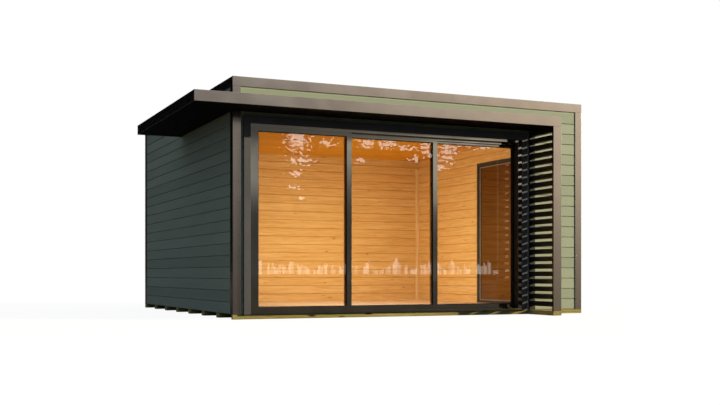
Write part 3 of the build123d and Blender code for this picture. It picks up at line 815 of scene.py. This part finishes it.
slat_coat = matt_coat("aluminium box section, black-brown powder coat", "#1B1612", 0.4)
cover_thick = 0.005
cover_round = 0.002
section_round = 0.003
(x0, y0, z0), (x1, y1, z1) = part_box("wing_leg")
# Only the leg's front strip is bronze; the black-brown of its sides is painted shade.
cover = block((x0, y0, z0), (x1, y0 + cover_thick, z1), cover_round)
leg = block((x0, y0 + cover_thick, z0), (x1, y1, z1), section_round)
shape, which = by_look([cover], [leg])
solid("wing_leg_section", shape, trim_coat, slat_coat, which=which, instead="wing_leg", slot="metal_trim")
solid("wing_post_section", block(*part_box("wing_post"), section_round), slat_coat, instead="wing_post",
      slot="metal_trim")

low, high = (np.array(v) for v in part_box("wing_slats"))
slat_height = 0.055
slat_round = 0.002
slat_pitch = 0.0857
slat_count = int(round((high[2] - low[2] - slat_height) / slat_pitch)) + 1
starts = low + np.arange(slat_count)[:, None] * slat_pitch * z_axis
ends = starts + (high[1] - low[1]) * y_axis
slats = bars(rounded(high[0] - low[0], slat_height, slat_round), starts, ends, x_axis, z_axis)
solid("wing_slat_sections", slats, slat_coat, instead="wing_slats", slot="metal_trim")


# The door frame. Extruded aluminium jambs and head in graphite metallic coat, with flat matt casings on the
# wall, guide fins under the head, a black rubber seal in the right jamb's reveal, whose black is painted
# shade there, and a low sill with rails.
frame_coat = metallic_coat("extruded aluminium, graphite powder coat", "#B6B0A3", 0.055, 0.05)
casing_coat = matt_coat("aluminium casing, matt bronze-grey powder coat", "#4D4A46", 0.55)
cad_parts["door_sill"].material_slots[0].material = frame_coat
casing_width, casing_depth, casing_lap = 0.072, 0.042, 0.039
lip_back, lip_drop, web_width = 0.006, 0.028, 0.042
leaf_thick, leaf_gap, frame_back_gap = 0.036, 0.008, 0.008
soft_edge = 0.0015

(x0, y0, z0), (x1, y1, z1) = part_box("door_jamb_left")
clear_left = x1
casing = block((x0, y0, z0), (x0 + casing_width, y0 + casing_depth, z1), soft_edge)
lining = block((x0 + casing_lap, y0 + lip_back, z0), (x1, y1, z1 - lip_drop), soft_edge)
shape, which = by_look([casing], [lining])
solid("door_jamb_left_profiles", shape, casing_coat, frame_coat, which=which,
      instead="door_jamb_left", slot="door_metal")

# The right jamb is shallow, and its web closes the pocket that the inner leaf ends in.
(x0, y0, z0), (x1, y1, z1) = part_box("door_jamb_right")
clear_right = x0
pocket_front = y1 - (frame_back_gap + leaf_thick + leaf_gap)
casing = block((x1 - casing_width, y0, z0), (x1, y0 + casing_depth, z1), soft_edge)
lining = block((x0, y0 + lip_back, z0), (x1 - casing_lap, pocket_front, z1 - lip_drop), soft_edge)
web = block((x1 - casing_lap - web_width, pocket_front, z0),
            (x1 - casing_lap, y1, z1 - lip_drop), soft_edge)
shape, which = by_look([casing], [lining, web])
solid("door_jamb_right_profiles", shape, casing_coat, frame_coat, which=which,
      instead="door_jamb_right", slot="door_metal")
# The seal is painted shade: a black strip on the right jamb's reveal, which faces away from the lamp.
sill_height, seal_proud, seal_inset, seal_edge = 0.018, 0.002, 0.003, 0.0008
seal = block((x0 - seal_proud, y0 + lip_back + seal_inset, z0 + sill_height),
             (x0, pocket_front, z1 - lip_drop), seal_edge)

(x0, y0, z0), (x1, y1, z1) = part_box("door_head")
fin_drop, fin_thick, fin_edge, lining_height = 0.026, 0.004, 0.001, 0.058
head_foot = z0 + fin_drop
casing_foot = head_foot + lip_drop
lining_top = head_foot + lining_height
casing = block((x0, y0, casing_foot), (x1, y0 + casing_depth, z1), soft_edge)
lip = block((x0 + casing_width, y0 + lip_back, head_foot),
            (clear_right, y0 + casing_depth, lining_top), soft_edge)
lining = block((x0 + casing_lap, y0 + casing_depth, head_foot),
               (x1 - casing_lap, y1, lining_top), soft_edge)
inner_track = y1 - (frame_back_gap + leaf_thick / 2)
middle_track = inner_track - (leaf_thick + leaf_gap)
fins = [
    block((clear_left, track - fin_thick / 2, z0), (end, track + fin_thick / 2, head_foot), fin_edge)
    for track, end in ((middle_track, clear_right), (inner_track, x1 - casing_lap - web_width))
]
shape, which = by_look([casing], [lip, lining, *fins])
solid("door_head_profiles", shape, casing_coat, frame_coat, which=which,
      instead="door_head", slot="door_metal")

# Extruded rubber: near black, with the soft sheen of a seal and a faint bloom.
black_rubber, tree, shader, place = finish("extruded black rubber gasket", Specular_IOR_Level=0.3)
bloom = add(tree, "TexNoise", {"Vector": place, "Scale": 1 / 0.002})
rubber_tone = add(tree, "ValToRGB", {"Fac": bloom}, stops=[
    (0.3, linear("#0C0C0C")), (0.7, linear("#171716")),
])
rubber_sheen = add(tree, "MapRange", {"Value": bloom, "To Min": 0.5, "To Max": 0.7})
wire(tree, shader, Base_Color=rubber_tone, Roughness=rubber_sheen)
# The black seal in the right jamb's reveal is painted shade.
solid("door_reveal_seal", seal, black_rubber, slot="door_metal")


# The three leaves. Each is an aluminium frame round a sealed unit of clear glass, held on both faces by a
# black rubber gasket; the left one is fixed and the other two run on rollers.

# Float glass: light goes straight through, and the faces mirror more the flatter they are looked at.
def glass(name, through, mirror, least):
    """Glass that lets the colour through pass and mirrors the share least + (1 - least) * (1 - cos)^5, by
    Schlick, tinted by mirror."""
    made = bpy.data.materials.new(name)
    made.use_nodes = True
    tree = made.node_tree
    tree.nodes.clear()
    grazing = add(tree, "LayerWeight", {"Blend": 0.5}, "Facing")
    fifth = add(tree, "Math", {0: grazing, 1: 5.0}, operation="POWER")
    share = add(tree, "MapRange", {"Value": fifth, "To Min": least, "To Max": 1.0})
    passed = add(tree, "BsdfTransparent", {"Color": through})
    shine = add(tree, "BsdfGlossy", {"Color": mirror, "Roughness": 0.0})
    add(tree, "OutputMaterial", {"Surface": add(tree, "MixShader", {0: share, 1: passed, 2: shine})})
    return made


def loop(section, low, high, across, up, outward):
    """A section carried round a flat rectangle with mitred corners: its point (u, v) lands u inwards from
    both sides of each corner and v out along outward, and quads join one corner's ring to the next."""
    section = np.asarray(section)
    corners = [low, low + ((high - low) @ across) * across, high, low + ((high - low) @ up) * up]
    inward = [across + up, up - across, -across - up, across - up]
    rings = [corner + section[:, :1] * way + section[:, 1:] * outward for corner, way in zip(corners, inward)]
    points = np.concatenate(rings)
    index = np.arange(4 * len(section)).reshape(4, -1)
    after, beside = np.roll(index, -1, axis=0), np.roll(index, -1, axis=1)
    quads = np.stack([index, after, np.roll(after, -1, axis=1), beside], -1).reshape(-1, 4)
    if np.dot(np.cross(across, up), outward) < 0:
        quads = quads[:, ::-1]
    return points, quads.tolist()


glass_pocket = 0.012
glass_edge_gap = 0.003
gasket_lip = [(0.0, 0.0), (0.006, 0.0), (0.005, 0.003), (0.0, 0.005)]


def gaskets(name, node, across, body):
    """Both gaskets of a glass node, each a loop just inside the edge of its frame's opening."""
    low, high = (np.array(v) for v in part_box(node))
    thin = np.abs(np.cross(z_axis, across))
    thick = ((high - low) @ thin) * thin
    covered = glass_pocket - glass_edge_gap
    corner_low = low + covered * across + glass_pocket * z_axis
    corner_high = high - covered * (across + z_axis)
    near = loop(gasket_lip, corner_low, corner_high - thick, across, z_axis, -thin)
    far = loop(gasket_lip, corner_low + thick, corner_high, across, z_axis, thin)
    solid(name, joined(near, far), black_rubber, body=body, slot="door_metal")


pane = glass("clear float glass, sealed unit", linear("#F8FCF9"), (1.0, 1.0, 1.0, 1.0), 0.045)
for leaf, body in (("fixed", "pod"), ("middle", "middle_leaf"), ("inner", "inner_leaf")):
    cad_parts[leaf + "_leaf_frame"].material_slots[0].material = frame_coat
    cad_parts[leaf + "_leaf_glass"].material_slots[0].material = pane
    gaskets(leaf + "_leaf_gaskets", leaf + "_leaf_glass", x_axis, body)

# Turned stainless steel: bright, with fine marks of the tool that streak what it mirrors.
roller_steel, tree, shader, place = finish("turned stainless steel", Metallic=1.0, Roughness=0.3)
tool_grid = add(tree, "Mapping", {"Vector": place, "Scale": (1 / 0.0011, 1 / 0.016, 1 / 0.0011)})
tool_marks = add(tree, "TexNoise", {"Vector": tool_grid, "Scale": 1.0})
roller_tone = add(tree, "ValToRGB", {"Fac": tool_marks}, stops=[
    (0.3, linear("#B4B6B8")), (0.7, linear("#D0D1D2")),
])
roller_dent = add(tree, "Bump", {"Height": tool_marks, "Strength": 0.3, "Distance": 0.0002})
wire(tree, shader, Base_Color=roller_tone, Normal=roller_dent)
for leaf in ("middle", "inner"):
    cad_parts[leaf + "_leaf_rollers"].material_slots[0].material = roller_steel


# The side light. A fixed frame let into the right wall, flush with its outer face, with dark sun-control
# glass, a casing over its edge outside, and inside a slim grey glazing bead beside the gasket.
light_coat = matt_coat("aluminium profile, matt dark brown powder coat", "#3B3631", 0.5)
for node in ("side_light_frame", "side_light_casing"):
    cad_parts[node].material_slots[0].material = light_coat

# Sun-control glass: it lets little through and mirrors far more than clear glass, both tinted bronze.
dark_pane = glass("bronze sun-control glass", (0.035, 0.024, 0.014, 1.0), (1.0, 0.72, 0.45, 1.0), 0.2)
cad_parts["side_light_glass"].material_slots[0].material = dark_pane
gaskets("side_light_gaskets", "side_light_glass", y_axis, "pod")

low, high = (np.array(v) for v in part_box("side_light_glass"))
room_side_high = high - (high[0] - low[0]) * x_axis
opening_inset = glass_pocket * (y_axis + z_axis)
bead_section = [(0.006, 0.0), (0.020, 0.0), (0.018, 0.010), (0.008, 0.012)]
bead = loop(bead_section, low + opening_inset, room_side_high - opening_inset, y_axis, z_axis, -x_axis)
bead_coat = matt_coat("aluminium glazing bead, grey powder coat", "#86806F", 0.5)
solid("side_light_bead", bead, bead_coat, slot="door_metal")
